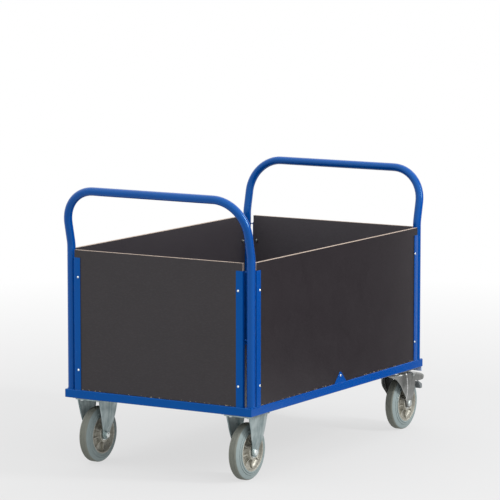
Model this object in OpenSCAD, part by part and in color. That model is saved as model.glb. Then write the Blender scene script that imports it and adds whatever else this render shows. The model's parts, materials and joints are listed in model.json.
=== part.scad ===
// Four-wheeled box truck: welded platform frame, four plywood walls, two push bars,
// two fixed casters at the front and two braked swivel casters at the rear.
// Millimetres. X runs forward (towards the fixed casters), Y to the left, Z up.
// The origin is on the floor under the centre of the platform.

/* [Platform] */
// Length of the frame
frame_l = 1240; // [1000:10:1400]
// Width of the frame
frame_w = 775; // [650:5:850]
// Side of the square frame tube
rail = 30; // [28:1:40]
// Wall thickness of the frame tube
rail_t = 2; // [1.5:0.5:3]
// Thickness of the plywood floor
floor_t = 12; // [9:1:15]

/* [Walls] */
// Height of the plywood walls above the frame
wall_h = 500; // [400:10:600]
// Thickness of the plywood walls
wall_t = 12; // [9:1:15]
// Length of the angle profiles that hold the walls
angle_h = 473; // [380:1:480]
// Width of the angle profiles
angle_w = 27; // [24:1:35]
// Thickness of the angle profiles
angle_t = 2; // [1.5:0.5:3]

/* [Push bars] */
// Diameter of the push bar tube
bar_d = 30; // [26:1:34]
// Height of the top of the push bars above the floor
bar_top = 1000; // [950:10:1100]
// Height of the knee where the bar starts to lean outwards
knee_z = 788; // [775:1:820]
// Outward lean above the knee, in degrees
lean = 13; // [5:1:15]
// Radius of the two upper corners of a push bar
corner_r = 125; // [80:5:140]

/* [Casters] */
// Diameter of the wheels
wheel_d = 200; // [190:1:205]
// Width of the tyres at the rim
tyre_w = 50; // [46:1:50]
// Height of a caster from the floor to the top of its plate
caster_h = 235; // [234:1:240]
// Distance from the side of the frame to the middle of a wheel
caster_in_y = 76; // [76:1:90]
// Distance from the front end of the frame to the fixed axles
front_axle_in = 95; // [90:1:120]
// Distance from the rear end of the frame to the swivel axes
rear_pivot_in = 86.5; // [86:0.5:120]
// Trail of the swivel casters
trail = 60; // [56:1:60]

/* [Hidden] */
$fn = 64;

plate_t = 5;
mount_z = caster_h;
frame_z = mount_z + plate_t;
deck_z = frame_z + rail;
caster_y = frame_w / 2 - caster_in_y;
front_axle_x = frame_l / 2 - front_axle_in;
rear_pivot_x = -(frame_l / 2 - rear_pivot_in);
wheel_r = wheel_d / 2;

// Rails and cross members
rail_corner_r = 3;
cross_w = 30;
cross_t = 2;
cross_h = rail - floor_t;
cross_end_in = 80;

// Walls: the outer faces are set in from the frame's edges, and the corners stay open
end_wall_in = 6;
side_wall_in = 4;
end_wall_half = frame_w / 2 - 40;
side_wall_half = frame_l / 2 - 40.5;
end_wall_x = frame_l / 2 - end_wall_in;
side_wall_y = frame_w / 2 - side_wall_in;

// Angle profiles and the screws through them
angle_return = 15;
end_screw_in = 16;
side_screw_in = 19;
screw_heights = [342, 674];
screw_r = 3;
screw_hole_r = 3.2;
screw_head_r = 4.2;
screw_head_h = 2.6;
nut_flat = 10;
nut_h = 5;
tab_h = 6;
tab_w = 4;
tab_heights = [500, deck_z + angle_h - tab_h - 2];

// Triangular lug at the middle of each side
lug_half_w = 42.5;
lug_h = 40;
lug_tip_r = 8;
lug_t = 2;
lug_screw_z = 26;

// Push bars
bar_r = bar_d / 2;
bar_t = 2;
post_in_x = 23.5;
post_in_y = 15.5;
post_x = frame_l / 2 - post_in_x;
post_y = frame_w / 2 - post_in_y;
knee_swell = 0.3;
lean_l = (bar_top - bar_r - knee_z) / cos(lean) - corner_r;

// Small stops welded under the rear corners
stop_w = 36;
stop_h = 16;
stop_t = 5;
stop_in_x = 4;
stop_in_y = 1;

// Caster plates and their bolts
plate_l = 135;
plate_w = 110;
plate_r = 10;
mount_margin = 5;
bolt_dx = 47.5;
bolt_dy = 37.5;
bolt_r = 4;
bolt_hole_r = 4.5;
bolt_flat = 13;
bolt_head_h = 5.3;
bolt_nut_h = 6.5;
bolt_end = 1;

// Fork legs: half widths of the outer face, from the axle up to the plate
sheet = 4;
leg_foot_y = 35.5;
leg_foot_z = wheel_r + 12;
leg_bend = [[44.5, wheel_r + 40], [49.5, wheel_r + 75]];
leg_top_y = 53.5;
leg_tip_r = 20;
rib_h = 2;
rib_half_w = 10;
rib_foot = 26;

// Fixed fork from the side: half widths of a leg, with their heights above the axle
fixed_leg = [[leg_tip_r, 0], [25, 21], [38, 48], [62, caster_h - plate_t - wheel_r]];

// Swivel fork from the side: the front edge of a leg, measured from the axle
swivel_leg_front = [[leg_tip_r, 0], [30, 20], [51, 45], [72, 66]];
swivel_rib_front = [[12, rib_foot], [22, 106]];
swivel_rib_rear = [[-15, 93], [-15, rib_foot]];

// Swivel head, with a round front wall whose lower edge arches over the wheel
swivel_arch = [[58, 63], [70, 63], [87, 86], [97, 101], [109, 111], [112, 119], [112, 123], [58, 123]];
arch_r = 49;
head_front_x = swivel_leg_front[3][0] - trail;
head_r = 50;
head_t = 5;
head_z = 218;
head_leg_y = 50;
king_r = 8;
king_nut_r = 13;
king_nut_h = 7.5;
king_gap = 0.5;
ball_r = 3.4;
ball_ring_r = 30;
ball_count = 18;
skirt_r = 41;
skirt_t = 3;
skirt_h = 5;

// Wheels: half of the tyre's section runs from the rim out to the tread
tyre_in_r = 70;
tyre_base_r = 73;
tyre_side = [
    [tyre_in_r, tyre_w / 2], [tyre_base_r, tyre_w / 2],
    [wheel_r - 6, 16.5], [wheel_r - 2, 14], [wheel_r, 10]
];
groove_radii = [78, 86];
groove_side = 1.6;
rim_lip_r = 62;
rim_half_w = 24.5;
web_half_t = 8;
hub_r = 28;
hub_half_w = 29;
seat_r = 20;
seat_depth = 12;
hub_bore_r = 14;
spoke_count = 8;
spoke_t = 5;
spoke_in = 8.5;
lap = 1;
sleeve_r = 10;
run_gap = 0.05;
axle_r = 6;
axle_flat = 19;
axle_head_h = 5;
axle_nut_h = 9;
axle_end = 2;

// Brake: a pedal hood and a shoe on one pin above the trailing side of the wheel
pin_x = -62.5;
pin_z = wheel_r + 109;
pin_r = 4;
pin_half_l = 51;
pin_head_r = 6;
pin_head_h = 1.5;
pedal_half_w = 38;
pedal_t = 3;
shoe_arm_t = 3;
shoe_arm_y = 22.5;
shoe_eye_r = 6.5;

// ---------- Helpers ----------

module painted() { color([0.02, 0.25, 0.62]) children(); }
module plywood() { color([0.22, 0.20, 0.21]) children(); }
module zinc() { color([0.66, 0.68, 0.68]) children(); }
module rubber() { color([0.50, 0.54, 0.53]) children(); }
module cast() { color([0.60, 0.58, 0.54]) children(); }
module dark_steel() { color([0.24, 0.26, 0.28]) children(); }

// Mirrors a left-hand or front piece to the other side
module side(s) { mirror([0, s < 0 ? 1 : 0, 0]) children(); }
module end(e) { mirror([e < 0 ? 1 : 0, 0, 0]) children(); }

// Rectangle centred on the origin with round corners
module round_rect(l, w, r) {
    square([l - 2 * r, w], center = true);
    square([l, w - 2 * r], center = true);
    for (x = [-1, 1], y = [-1, 1])
        translate([x * (l / 2 - r), y * (w / 2 - r)]) circle(r);
}

// Extrudes a profile drawn in Y and Z along X, centred
module along_x(l) { rotate([90, 0, 90]) linear_extrude(l, center = true) children(); }

// Extrudes a profile drawn in X and Z along Y, centred
module along_y(l) { rotate([90, 0, 0]) linear_extrude(l, center = true) children(); }

// Hexagonal prism, measured across the flats
module hex(flat, h) { cylinder(r = flat / 2 / cos(30), h = h, $fn = 6); }

// ---------- Frame ----------

// Square tube along X with mitred ends, its outer face at y = 0 and its foot at z = 0
module mitred_rail(l) {
    intersection() {
        along_x(l) translate([-rail / 2, rail / 2]) difference() {
            round_rect(rail, rail, rail_corner_r);
            square(rail - 2 * rail_t, center = true);
        }
        linear_extrude(rail)
            polygon([[-l / 2, 0], [l / 2, 0], [l / 2 - rail, -rail], [-l / 2 + rail, -rail]]);
    }
}

module side_rail(s) {
    painted() side(s) translate([0, frame_w / 2, frame_z]) mitred_rail(frame_l);
}

module end_rail(e) {
    painted() end(e) translate([frame_l / 2, 0, frame_z]) rotate([0, 0, -90]) mitred_rail(frame_w);
}

// Channel under the floor, open side down, between the side rails
module cross_member(x) {
    painted() translate([x, 0, frame_z]) difference() {
        translate([-cross_w / 2, -frame_w / 2 + rail, 0]) cube([cross_w, frame_w - 2 * rail, cross_h]);
        translate([-cross_w / 2 + cross_t, -frame_w / 2, -1])
            cube([cross_w - 2 * cross_t, frame_w, cross_h - cross_t + 1]);
    }
}

module bolt_positions() {
    for (x = [-bolt_dx, bolt_dx], y = [-bolt_dy, bolt_dy]) translate([x, y]) children();
}

// Places a piece at one of the four casters: e is the end and s the side
module at_caster(e, s) {
    translate([e > 0 ? front_axle_x : rear_pivot_x, s * caster_y, 0]) children();
}

module mount_plate(e, s) {
    painted() at_caster(e, s) translate([0, 0, mount_z]) linear_extrude(plate_t) difference() {
        square([plate_l + 2 * mount_margin, plate_w + 2 * mount_margin], center = true);
        bolt_positions() circle(bolt_hole_r);
    }
}

module floor_board() {
    plywood() translate([0, 0, deck_z - floor_t / 2])
        cube([frame_l - 2 * rail, frame_w - 2 * rail, floor_t], center = true);
}

// ---------- Push bars ----------

// The whole run of a push bar as a solid of radius r: two posts, two knees and the leaning bow
module bar_run(r) {
    for (s = [-1, 1]) translate([post_x, s * post_y, deck_z]) cylinder(r = r, h = knee_z - deck_z);
    translate([post_x, 0, knee_z]) rotate([0, lean, 0]) {
        for (s = [-1, 1]) translate([0, s * post_y, 0]) {
            sphere(r + knee_swell);
            cylinder(r = r, h = lean_l);
        }
        translate([0, 0, lean_l]) {
            for (s = [-1, 1]) side(s) translate([0, post_y - corner_r, 0]) rotate([90, 0, 90])
                rotate_extrude(angle = 90) translate([corner_r, 0]) circle(r);
            translate([0, 0, corner_r]) rotate([90, 0, 0])
                cylinder(r = r, h = 2 * (post_y - corner_r), center = true);
        }
    }
}

module push_bar(e) {
    painted() end(e) difference() {
        bar_run(bar_r);
        bar_run(bar_r - bar_t);
    }
}

// ---------- Walls ----------

// Places the children on the outer face of each end wall, at its screws
module end_wall_screws(e) {
    for (s = [-1, 1], z = screw_heights)
        translate([e * end_wall_x, s * (end_wall_half - end_screw_in), z])
            rotate([0, e * 90, 0]) children();
}

module side_wall_screws(s) {
    for (x = [-1, 1], z = screw_heights)
        translate([x * (side_wall_half - side_screw_in), s * side_wall_y, z])
            rotate([-s * 90, 0, 0]) children();
    translate([0, s * side_wall_y, deck_z + lug_screw_z]) rotate([-s * 90, 0, 0]) children();
}

module screw_hole() { translate([0, 0, -2 * wall_t]) cylinder(r = screw_hole_r, h = 4 * wall_t); }

module end_wall(e) {
    plywood() difference() {
        end(e) translate([end_wall_x - wall_t, -end_wall_half, deck_z])
            cube([wall_t, 2 * end_wall_half, wall_h]);
        end_wall_screws(e) screw_hole();
    }
}

module side_wall(s) {
    plywood() difference() {
        side(s) translate([-side_wall_half, side_wall_y - wall_t, deck_z])
            cube([2 * side_wall_half, wall_t, wall_h]);
        side_wall_screws(s) screw_hole();
    }
}

// Angle over the end of a wall: the wall's outer face is y = 0 and its end is x = 0
module wall_angle() {
    linear_extrude(angle_h)
        polygon([
            [angle_t - angle_w, 0], [0, 0], [0, angle_t - angle_return],
            [angle_t, angle_t - angle_return], [angle_t, angle_t], [angle_t - angle_w, angle_t]
        ]);
}

// Two angles on an end wall, each with small weld tabs across the gap to its post
module end_wall_angles(e) {
    tab_x = end_wall_x + angle_t - angle_return;
    tab_y = end_wall_half + angle_t;
    reach = post_y - sqrt(bar_r * bar_r - pow(tab_x - post_x, 2)) - tab_y;
    painted() difference() {
        end(e) for (s = [-1, 1]) side(s) {
            translate([end_wall_x, end_wall_half, deck_z]) mirror([1, -1, 0]) wall_angle();
            for (z = tab_heights) translate([tab_x, tab_y, z]) cube([tab_w, reach, tab_h]);
        }
        end_wall_screws(e) screw_hole();
    }
}

module side_wall_angles(s) {
    painted() difference() {
        side(s) for (e = [-1, 1]) end(e)
            translate([side_wall_half, side_wall_y, deck_z]) wall_angle();
        side_wall_screws(s) screw_hole();
    }
}

// Triangular plate with a round tip, its sides tangent to the tip
module lug_outline() {
    tip_z = lug_h - lug_tip_r;
    slope = acos(lug_tip_r / norm([lug_half_w, tip_z])) - atan2(tip_z, lug_half_w);
    tangent = [lug_tip_r * cos(slope), tip_z + lug_tip_r * sin(slope)];
    polygon([[-lug_half_w, 0], [lug_half_w, 0], tangent, [-tangent[0], tangent[1]]]);
    translate([0, tip_z]) circle(lug_tip_r);
}

module side_lugs() {
    painted() difference() {
        for (s = [-1, 1]) side(s) translate([0, side_wall_y + lug_t / 2, deck_z])
            along_y(lug_t) lug_outline();
        for (s = [-1, 1]) translate([0, s * side_wall_y, deck_z + lug_screw_z])
            rotate([90, 0, 0]) cylinder(r = screw_hole_r, h = 4 * lug_t, center = true);
    }
}

// Dome-headed screw through the steel and the wall
module wall_screw() {
    dome_r = (screw_head_r * screw_head_r + screw_head_h * screw_head_h) / (2 * screw_head_h);
    translate([0, 0, -wall_t - nut_h]) cylinder(r = screw_r, h = wall_t + nut_h + angle_t);
    intersection() {
        translate([0, 0, angle_t + screw_head_h - dome_r]) sphere(dome_r);
        translate([0, 0, angle_t]) cylinder(r = 2 * screw_head_r, h = 2 * screw_head_h);
    }
}

module wall_nut() {
    translate([0, 0, -wall_t - nut_h]) difference() {
        hex(nut_flat, nut_h);
        translate([0, 0, -1]) cylinder(r = screw_r, h = nut_h + 2);
    }
}

module all_wall_screws() {
    for (e = [-1, 1]) end_wall_screws(e) children();
    for (s = [-1, 1]) side_wall_screws(s) children();
}

module corner_stops() {
    painted() for (s = [-1, 1]) side(s)
        translate([-frame_l / 2 + stop_in_x, frame_w / 2 - stop_in_y - stop_w, frame_z - stop_h])
            cube([stop_t, stop_w, stop_h]);
}

// ---------- Caster fasteners ----------

module all_caster_bolts() {
    for (e = [-1, 1], s = [-1, 1]) at_caster(e, s)
        translate([0, 0, caster_h - plate_t]) bolt_positions() children();
}

module caster_bolts() {
    zinc() all_caster_bolts() {
        translate([0, 0, -bolt_head_h]) hex(bolt_flat, bolt_head_h);
        cylinder(r = bolt_r, h = 2 * plate_t + bolt_nut_h + bolt_end);
    }
}

module caster_nuts() {
    zinc() all_caster_bolts() translate([0, 0, 2 * plate_t]) difference() {
        hex(bolt_flat, bolt_nut_h);
        translate([0, 0, -1]) cylinder(r = bolt_r, h = bolt_nut_h + 2);
    }
}

// ---------- Forks ----------

module plate_outline() {
    difference() {
        round_rect(plate_l, plate_w, plate_r);
        bolt_positions() circle(bolt_hole_r);
    }
}

// Front view of both legs: sheet that runs down from top_z and draws in to the axle
module legs_front(top_y, top_z, out) {
    outer = concat([[leg_foot_y, 0], [leg_foot_y, leg_foot_z]], leg_bend, [[top_y, top_z]]);
    for (m = [0, 1]) mirror([m, 0]) polygon(concat(
        [for (p = outer) [p[0] + out, p[1]]],
        [for (i = [len(outer) - 1:-1:0]) [outer[i][0] - sheet, outer[i][1]]]
    ));
}

// Side view of a fixed fork's leg, widening from the axle up to the plate
module fixed_leg_side() {
    translate([0, wheel_r]) {
        left = [for (i = [len(fixed_leg) - 1:-1:0]) [-fixed_leg[i][0], fixed_leg[i][1]]];
        polygon(concat(fixed_leg, left));
        circle(leg_tip_r);
    }
}

module fixed_fork(s) {
    zinc() at_caster(1, s) difference() {
        union() {
            translate([0, 0, caster_h - plate_t]) linear_extrude(plate_t) plate_outline();
            intersection() {
                along_x(plate_l) legs_front(leg_top_y, caster_h - plate_t, 0);
                along_y(plate_w) fixed_leg_side();
            }
            intersection() {
                along_x(plate_l) legs_front(leg_top_y, caster_h - plate_t, rib_h);
                along_y(2 * plate_w) translate([-rib_half_w, wheel_r + rib_foot])
                    square([2 * rib_half_w, caster_h - plate_t - wheel_r - rib_foot]);
            }
        }
        translate([0, 0, wheel_r]) rotate([90, 0, 0])
            cylinder(r = axle_r + run_gap, h = plate_w, center = true);
    }
}

// Side view of a swivel fork's leg: upright over the axle, with a front edge that sweeps to the head
module swivel_leg_side() {
    top = head_z + head_t - wheel_r;
    translate([-trail, wheel_r]) {
        polygon(concat(swivel_leg_front, [
            [head_front_x + trail, top], [trail - head_r, top],
            [-leg_tip_r, pin_z - pin_r / 2 - wheel_r], [-leg_tip_r, 0]
        ]));
        circle(leg_tip_r);
    }
}

module swivel_rib_side() {
    translate([-trail, wheel_r]) polygon(concat(swivel_rib_front, swivel_rib_rear));
}

module swivel_fork(s) {
    top_z = head_z + head_t;
    zinc() at_caster(-1, s) difference() {
        union() {
            translate([0, 0, head_z]) linear_extrude(head_t) {
                circle(head_r);
                translate([-head_r, -head_leg_y]) square([head_r + head_front_x, 2 * head_leg_y]);
            }
            translate([0, 0, top_z]) linear_extrude(skirt_h) difference() {
                circle(skirt_r);
                circle(skirt_r - skirt_t);
            }
            intersection() {
                along_x(4 * head_r) legs_front(head_leg_y, top_z, 0);
                along_y(3 * head_r) swivel_leg_side();
            }
            intersection() {
                along_x(4 * head_r) legs_front(head_leg_y, top_z, rib_h);
                along_y(3 * head_r) swivel_rib_side();
            }
            intersection() {
                translate([0, 0, wheel_r]) linear_extrude(top_z - wheel_r) difference() {
                    circle(arch_r);
                    circle(arch_r - sheet);
                }
                along_y(3 * head_r) translate([-trail, wheel_r]) polygon(swivel_arch);
            }
        }
        translate([0, 0, head_z - 1]) cylinder(r = king_r + run_gap, h = head_t + 2);
        translate([-trail, 0, wheel_r]) rotate([90, 0, 0])
            cylinder(r = axle_r + run_gap, h = plate_w, center = true);
        translate([pin_x, 0, pin_z]) rotate([90, 0, 0])
            cylinder(r = pin_r, h = plate_w + 20, center = true);
    }
}

module top_plate(s) {
    zinc() at_caster(-1, s) translate([0, 0, caster_h - plate_t]) linear_extrude(plate_t)
        difference() {
            plate_outline();
            circle(king_r);
        }
}

// Rivet through the top plate, with the nut that carries the fork's head
module kingpin(s) {
    zinc() at_caster(-1, s) {
        translate([0, 0, head_z - king_gap]) cylinder(r = king_r, h = caster_h - head_z + king_gap);
        translate([0, 0, head_z - king_gap - king_nut_h]) cylinder(r = king_nut_r, h = king_nut_h);
    }
}

module ball_ring(s) {
    zinc() at_caster(-1, s) for (i = [0:ball_count - 1])
        rotate([0, 0, i * 360 / ball_count])
            translate([ball_ring_r, 0, (head_z + head_t + caster_h - plate_t) / 2]) sphere(ball_r);
}

// ---------- Wheels ----------

// Places a wheel's pieces, drawn about Z, on one of the four axles
module at_axle(e, s) {
    at_caster(e, s) translate([e > 0 ? 0 : -trail, 0, wheel_r]) rotate([s * -90, 0, 0]) children();
}

// Half width of the tyre at a radius on its sloping flank
function flank_y(r) = lookup(r, [for (p = tyre_side) if (p[0] >= tyre_base_r) p]);

module tyre(e, s) {
    back = [for (i = [len(tyre_side) - 1:-1:0]) [tyre_side[i][0], -tyre_side[i][1]]];
    rubber() at_axle(e, s) rotate_extrude() difference() {
        polygon(concat(tyre_side, back));
        for (y = [-1, 1], r = groove_radii) translate([r, y * flank_y(r)])
            square(groove_side, center = true);
    }
}

module rim(e, s) {
    cast() at_axle(e, s) {
        rotate_extrude() {
            translate([rim_lip_r, -rim_half_w]) square([tyre_in_r - rim_lip_r, 2 * rim_half_w]);
            translate([hub_r - lap, -web_half_t]) square([rim_lip_r - hub_r + 2 * lap, 2 * web_half_t]);
            translate([seat_r, -hub_half_w]) square([hub_r - seat_r, 2 * hub_half_w]);
            translate([hub_bore_r, -hub_half_w + seat_depth])
                square([seat_r - hub_bore_r + lap, 2 * (hub_half_w - seat_depth)]);
        }
        for (i = [0:spoke_count - 1]) rotate([0, 0, i * 360 / spoke_count])
            translate([hub_r - lap, -spoke_t / 2, -rim_half_w + spoke_in])
                cube([rim_lip_r - hub_r + 2 * lap, spoke_t, 2 * (rim_half_w - spoke_in)]);
    }
}

module bearings(e, s) {
    zinc() at_axle(e, s) for (m = [0, 1]) mirror([0, 0, m])
        translate([0, 0, hub_half_w - seat_depth]) difference() {
            cylinder(r = seat_r, h = seat_depth);
            translate([0, 0, -1]) cylinder(r = sleeve_r + run_gap, h = seat_depth + 2);
        }
}

// Bolt, nut and bearing sleeve of one wheel, with the head on the outer side
module axle_set(e, s) {
    inner = leg_foot_y - sheet;
    far_end = leg_foot_y + axle_nut_h + axle_end;
    at_axle(e, s) {
        translate([0, 0, leg_foot_y]) hex(axle_flat, axle_head_h);
        translate([0, 0, -far_end]) cylinder(r = axle_r, h = far_end + leg_foot_y);
        translate([0, 0, -leg_foot_y - axle_nut_h]) difference() {
            hex(axle_flat, axle_nut_h);
            translate([0, 0, -1]) cylinder(r = axle_r, h = axle_nut_h + 2);
        }
        difference() {
            cylinder(r = sleeve_r, h = 2 * inner, center = true);
            cylinder(r = axle_r, h = 3 * inner, center = true);
        }
    }
}

module front_axle_bolts() { zinc() for (s = [-1, 1]) axle_set(1, s); }
module rear_axle_bolt(s) { zinc() axle_set(-1, s); }

// ---------- Brakes ----------

module at_pin(s) { at_caster(-1, s) translate([pin_x, 0, pin_z]) children(); }

module brake_pin(s) {
    zinc() at_pin(s) rotate([90, 0, 0]) {
        cylinder(r = pin_r, h = 2 * pin_half_l, center = true);
        for (m = [0, 1]) mirror([0, 0, m])
            translate([0, 0, pin_half_l]) cylinder(r = pin_head_r, h = pin_head_h);
    }
}

// Side view of the pedal hood: the arched top, the tip and the lower edge of the cheeks
module pedal_side() {
    polygon([
        [6, 9], [0, 10.5], [-40, 5], [-80, -1.5], [-105, -8.5], [-119, -16],
        [-112, -26], [-102, -31], [-86, -32], [-58, -31], [-24, -22], [-6, -12], [6, -8]
    ]);
}

module pedal_hollow() {
    polygon([
        [20, 6.5], [0, 7.5], [-39.5, 2], [-79, -4.5], [-103.5, -11.5], [-113, -16.8],
        [-106, -40], [20, -40]
    ]);
}

module brake_pedal(s) {
    zinc() at_pin(s) difference() {
        along_y(2 * pedal_half_w) pedal_side();
        along_y(2 * (pedal_half_w - pedal_t)) pedal_hollow();
        rotate([90, 0, 0]) cylinder(r = pin_r + run_gap, h = 3 * pedal_half_w, center = true);
    }
}

// Two arms beside the tyre that carry the block behind the tread
module brake_shoe(s) {
    block = [[-82.4, -38], [-89.4, -46], [-97.4, -57.5], [-103.3, -69], [-116.5, -69], [-116.5, -52]];
    dark_steel() at_pin(s) difference() {
        union() {
            along_y(2 * shoe_arm_y + 1) polygon(block);
            for (m = [0, 1]) mirror([0, m, 0]) translate([0, shoe_arm_y + shoe_arm_t / 2, 0])
                along_y(shoe_arm_t) {
                    circle(shoe_eye_r);
                    polygon(concat([[-3, 5.5], [2, -6]], block));
                }
        }
        rotate([90, 0, 0]) cylinder(r = pin_r + run_gap, h = 3 * pedal_half_w, center = true);
    }
}

// ---------- Nodes ----------

side_rail(1);  // side_rail_left
side_rail(-1);  // side_rail_right
end_rail(1);  // end_rail_front
end_rail(-1);  // end_rail_rear
cross_member(frame_l / 2 - cross_end_in);  // cross_member_front
cross_member(0);  // cross_member_middle
cross_member(-frame_l / 2 + cross_end_in);  // cross_member_rear
mount_plate(1, 1);  // mount_plate_front_left
mount_plate(1, -1);  // mount_plate_front_right
mount_plate(-1, 1);  // mount_plate_rear_left
mount_plate(-1, -1);  // mount_plate_rear_right
floor_board();
push_bar(1);  // push_bar_front
push_bar(-1);  // push_bar_rear
end_wall(1);  // wall_front
end_wall(-1);  // wall_rear
side_wall(1);  // wall_left
side_wall(-1);  // wall_right
end_wall_angles(1);  // wall_front_angles
end_wall_angles(-1);  // wall_rear_angles
side_wall_angles(1);  // wall_left_angles
side_wall_angles(-1);  // wall_right_angles
side_lugs();
zinc() all_wall_screws() wall_screw();  // wall_screws
zinc() all_wall_screws() wall_nut();  // wall_nuts
caster_bolts();
caster_nuts();
corner_stops();
fixed_fork(1);  // front_left_fork
fixed_fork(-1);  // front_right_fork
front_axle_bolts();
tyre(1, 1);  // front_left_tyre
rim(1, 1);  // front_left_rim
bearings(1, 1);  // front_left_bearings
tyre(1, -1);  // front_right_tyre
rim(1, -1);  // front_right_rim
bearings(1, -1);  // front_right_bearings
top_plate(1);  // rear_left_top_plate
kingpin(1);  // rear_left_kingpin
ball_ring(1);  // rear_left_ball_ring
swivel_fork(1);  // rear_left_fork
rear_axle_bolt(1);  // rear_left_axle_bolt
brake_pin(1);  // rear_left_brake_pin
tyre(-1, 1);  // rear_left_tyre
rim(-1, 1);  // rear_left_rim
bearings(-1, 1);  // rear_left_bearings
brake_pedal(1);  // rear_left_brake_pedal
brake_shoe(1);  // rear_left_brake_shoe
top_plate(-1);  // rear_right_top_plate
kingpin(-1);  // rear_right_kingpin
ball_ring(-1);  // rear_right_ball_ring
swivel_fork(-1);  // rear_right_fork
rear_axle_bolt(-1);  // rear_right_axle_bolt
brake_pin(-1);  // rear_right_brake_pin
tyre(-1, -1);  // rear_right_tyre
rim(-1, -1);  // rear_right_rim
bearings(-1, -1);  // rear_right_bearings
brake_pedal(-1);  // rear_right_brake_pedal
brake_shoe(-1);  // rear_right_brake_shoe
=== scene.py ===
"""Looks of a box truck: blue powder-coated frame and push bars, film-faced plywood walls, and
zinc-plated casters with grey rubber tyres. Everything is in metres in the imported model's frame:
X forward, Y left, Z up. Profiles under a comment that says mm are scaled where they are used."""

import json
import math

import bmesh
import bpy
from mathutils import Matrix, Vector, noise


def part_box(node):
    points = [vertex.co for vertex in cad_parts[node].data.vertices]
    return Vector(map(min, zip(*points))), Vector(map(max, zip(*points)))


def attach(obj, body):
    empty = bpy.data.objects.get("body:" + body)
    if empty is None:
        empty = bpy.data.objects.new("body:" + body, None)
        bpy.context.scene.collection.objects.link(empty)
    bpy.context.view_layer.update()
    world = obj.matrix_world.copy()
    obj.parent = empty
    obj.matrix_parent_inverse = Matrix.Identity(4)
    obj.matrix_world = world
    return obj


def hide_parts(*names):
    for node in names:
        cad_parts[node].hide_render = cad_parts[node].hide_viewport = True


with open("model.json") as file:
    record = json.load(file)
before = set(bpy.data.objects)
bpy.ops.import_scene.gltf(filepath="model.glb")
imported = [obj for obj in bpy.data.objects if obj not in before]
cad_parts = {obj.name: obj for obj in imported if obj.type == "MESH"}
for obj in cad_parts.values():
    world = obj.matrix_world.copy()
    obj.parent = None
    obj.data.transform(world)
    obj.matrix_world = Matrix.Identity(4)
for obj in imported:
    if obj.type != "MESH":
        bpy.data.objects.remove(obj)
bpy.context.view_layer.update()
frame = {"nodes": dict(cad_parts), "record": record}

MM = 0.001
SIDES = {"left": 1, "right": -1}
ENDS = {"front": 1, "rear": -1}
WALLS = ("front", "rear", "left", "right")
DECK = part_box("push_bar_front")[0].z


# ---------- Materials ----------


class Look:
    """A procedural material under construction: each call adds one node and returns its output."""

    def __init__(self, name, metallic=0.0, specular=0.5):
        self.material = bpy.data.materials.new(name)
        self.material.use_nodes = True
        self.tree = self.material.node_tree
        self.shader = self.tree.nodes["Principled BSDF"]
        self.shader.inputs["Metallic"].default_value = metallic
        self.shader.inputs["Specular IOR Level"].default_value = specular
        self.coords = self.tree.nodes.new("ShaderNodeTexCoord").outputs["Object"]

    def node(self, kind, inputs, **settings):
        node = self.tree.nodes.new(kind)
        for key, value in settings.items():
            setattr(node, key, value)
        for key, value in inputs.items():
            if isinstance(value, bpy.types.NodeSocket):
                self.tree.links.new(value, node.inputs[key])
            else:
                node.inputs[key].default_value = value
        return node

    def noise(self, scale, detail=3.0, stretch=(1, 1, 1)):
        stretched = {"Vector": self.coords, "Scale": stretch}
        mapped = self.node("ShaderNodeMapping", stretched).outputs[0]
        values = {"Vector": mapped, "Scale": scale, "Detail": detail}
        return self.node("ShaderNodeTexNoise", values).outputs["Fac"]

    def math(self, operation, a, b=0.0, c=0.0):
        return self.node("ShaderNodeMath", {0: a, 1: b, 2: c}, operation=operation).outputs[0]

    def ramp(self, factor, low, high, from_low=0.0, from_high=1.0):
        """A number that goes from low to high as the factor goes from from_low to from_high."""
        values = {"Value": factor, "From Min": from_low, "From Max": from_high,
                  "To Min": low, "To Max": high}
        return self.node("ShaderNodeMapRange", values).outputs[0]

    def mix(self, factor, a, b):
        def full(value):
            return value if isinstance(value, bpy.types.NodeSocket) else (*value, 1.0)

        node = self.tree.nodes.new("ShaderNodeMix")
        node.data_type = "RGBA"
        for socket, value in zip((0, 6, 7), (factor, full(a), full(b))):
            if isinstance(value, bpy.types.NodeSocket):
                self.tree.links.new(value, node.inputs[socket])
            else:
                node.inputs[socket].default_value = value
        return node.outputs[2]

    def axis(self, name):
        return self.node("ShaderNodeSeparateXYZ", {0: self.coords}).outputs[name]

    def finish(self, color, roughness, height, bump_mm, strength=1.0):
        self.tree.links.new(color, self.shader.inputs["Base Color"])
        self.tree.links.new(roughness, self.shader.inputs["Roughness"])
        values = {"Height": height, "Strength": strength, "Distance": bump_mm * MM}
        normal = self.node("ShaderNodeBump", values).outputs[0]
        self.tree.links.new(normal, self.shader.inputs["Normal"])
        return self.material


def blue_paint(name, tint, smoothest, bump):
    """Powder coat: a light orange peel, slow changes of tone and small pale scuffs."""
    look = Look(name, specular=0.45)
    look.shader.inputs["Specular Tint"].default_value = (*tint, 1.0)
    tone = look.mix(look.noise(5), (0.0, 0.038, 0.205), (0.0, 0.050, 0.240))
    scuffs = look.ramp(look.noise(260, 5, (1, 1, 0.3)), 0, 0.30, 0.69, 0.74)
    color = look.mix(scuffs, tone, (0.10, 0.20, 0.46))
    roughness = look.ramp(look.noise(12), smoothest, smoothest + 0.05)
    return look.finish(color, roughness, look.noise(900, 2), bump, 0.3)


def pale_grey_blue_paint():
    """The small corner stops: a pale grey-blue, partly metallic, in lighter and darker patches."""
    look = Look("pale_grey_blue_coat", metallic=0.3, specular=0.4)
    patches = look.noise(90, 5)
    color = look.mix(look.ramp(patches, 0, 1, 0.3, 0.7), (0.22, 0.30, 0.48), (0.40, 0.47, 0.64))
    return look.finish(color, look.ramp(patches, 0.35, 0.55), patches, 0.1, 0.4)


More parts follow.
